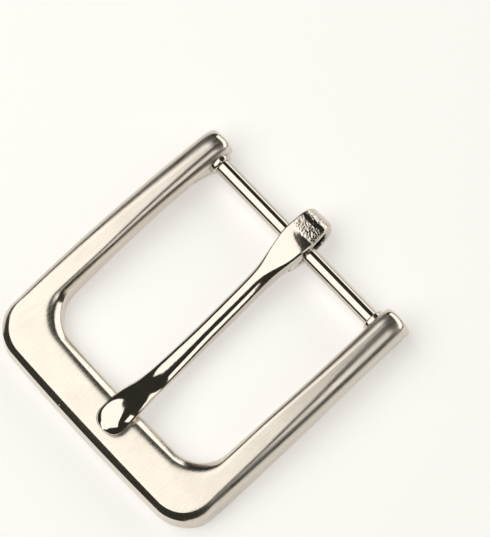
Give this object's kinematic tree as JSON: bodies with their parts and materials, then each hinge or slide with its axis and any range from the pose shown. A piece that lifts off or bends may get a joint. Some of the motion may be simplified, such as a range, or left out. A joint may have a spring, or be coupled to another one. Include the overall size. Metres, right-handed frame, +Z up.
{
  "type": "belt buckle",
  "caption": "Horseshoe-shaped prong buckle for a narrow dress belt: arched satin arms, broad bevelled front bar, round heel bar and a swinging prong with a curled heel.",
  "frame": {"origin": "middle of the bounding box's base, on the table the buckle lies on", "axes": "+X along the heel bar, +Y from the front bar to the heel, +Z up, away from the wearer"},
  "size_m": [0.0506, 0.0552, 0.007],
  "materials": {
    "satin_nickel": "satin-brushed nickel plate on cast zinc",
    "bright_nickel": "bright polished nickel plate"
  },
  "bodies": {
    "frame_body": {"frame": "satin_nickel", "heel_bar": "bright_nickel"},
    "prong_body": {"prong": "bright_nickel"}
  },
  "joints": [
    {"name": "prong_swing", "type": "hinge", "parent": "frame_body", "child": "prong_body", "pos_m": [0, 0.02124, 0.0033], "axis": [-1, 0, 0], "range_deg": [0, 180]}
  ]
}
